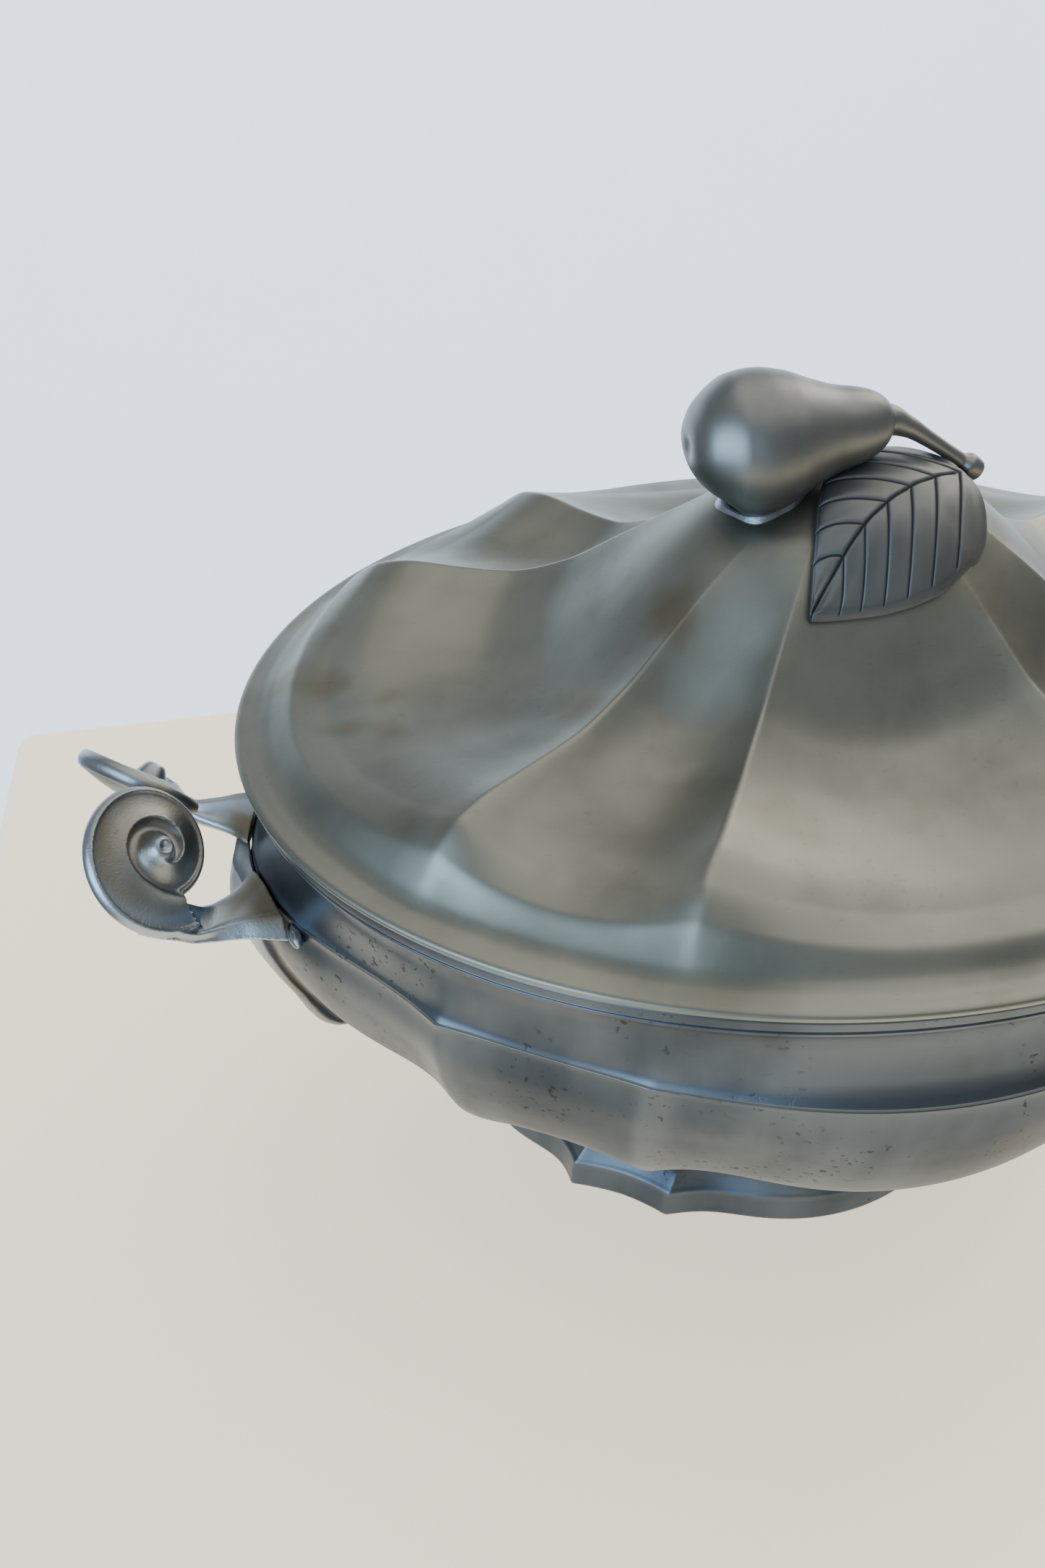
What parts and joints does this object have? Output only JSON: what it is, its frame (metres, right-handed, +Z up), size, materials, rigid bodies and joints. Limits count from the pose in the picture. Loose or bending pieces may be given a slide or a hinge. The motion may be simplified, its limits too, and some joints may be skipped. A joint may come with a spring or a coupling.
{
  "type": "covered oval tureen",
  "caption": "Covered oval bowl in satin grey pewter with a lobed belly, a loose domed lid with a pear-and-leaf knob, and paired ram's-horn scroll handles.",
  "frame": {"origin": "centre of the foot's underside, on the table", "axes": "+X along the length of the bowl from handle to handle, -Y the front with the leaf, +Z up"},
  "size_m": [0.3244, 0.2026, 0.199],
  "materials": {
    "bowl_pewter": "satin pewter with a dark bluish-grey patina, fine scratches and small pits",
    "lid_pewter": "satin pewter with a warm olive-grey patina and a few brownish stains",
    "handle_pewter": "cast pewter with dark brown patina in the hollows and worn bright edges",
    "finial_pewter": "smooth cast pewter, rubbed brighter where fingers hold it",
    "solder": "pale dull solder"
  },
  "bodies": {
    "bowl": {"bowl_cove_casting": "bowl_pewter", "bowl_belly_casting": "bowl_pewter", "rim_band": "bowl_pewter", "foot_ring": "bowl_pewter", "handle_left_front_scroll": "handle_pewter", "handle_left_rear_scroll": "handle_pewter", "handle_left_bracket": "handle_pewter", "handle_right_front_scroll": "handle_pewter", "handle_right_rear_scroll": "handle_pewter", "handle_right_bracket": "handle_pewter"},
    "lid": {"lid_shell": "lid_pewter", "lid_locating_ring": "lid_pewter", "pear": "finial_pewter", "stem": "finial_pewter", "leaf": "finial_pewter", "finial_solder_bead": "solder"}
  },
  "joints": [
    {"name": "lid_lift", "type": "slide", "parent": "bowl", "child": "lid", "axis": [0, 0, 1], "range_m": [0, 0.14]}
  ]
}
